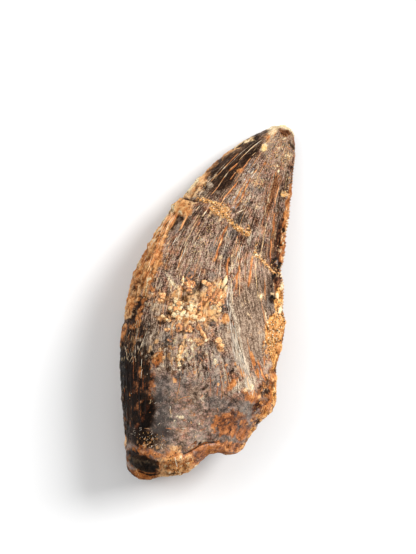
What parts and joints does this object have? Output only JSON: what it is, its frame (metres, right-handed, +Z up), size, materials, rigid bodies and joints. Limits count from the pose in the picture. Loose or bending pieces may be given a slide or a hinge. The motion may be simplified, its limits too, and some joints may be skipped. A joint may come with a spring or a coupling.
{
  "type": "fossil tooth",
  "caption": "Curved, flattened fossil predator tooth with a serrated back edge, a mineral-filled crack and a rough broken base, lying on its side.",
  "frame": {"origin": "middle of the bottom of the box round the tooth, as it lies on its inner face", "axes": "+Y from the broken base to the tip, +X to the serrated back edge, +Z up out of the outer face"},
  "size_m": [0.0208, 0.0458, 0.0114],
  "materials": {
    "fossil": "satin mineralised enamel with ochre sediment in its cracks"
  },
  "bodies": {
    "root": {"tooth": "fossil"}
  },
  "joints": []
}
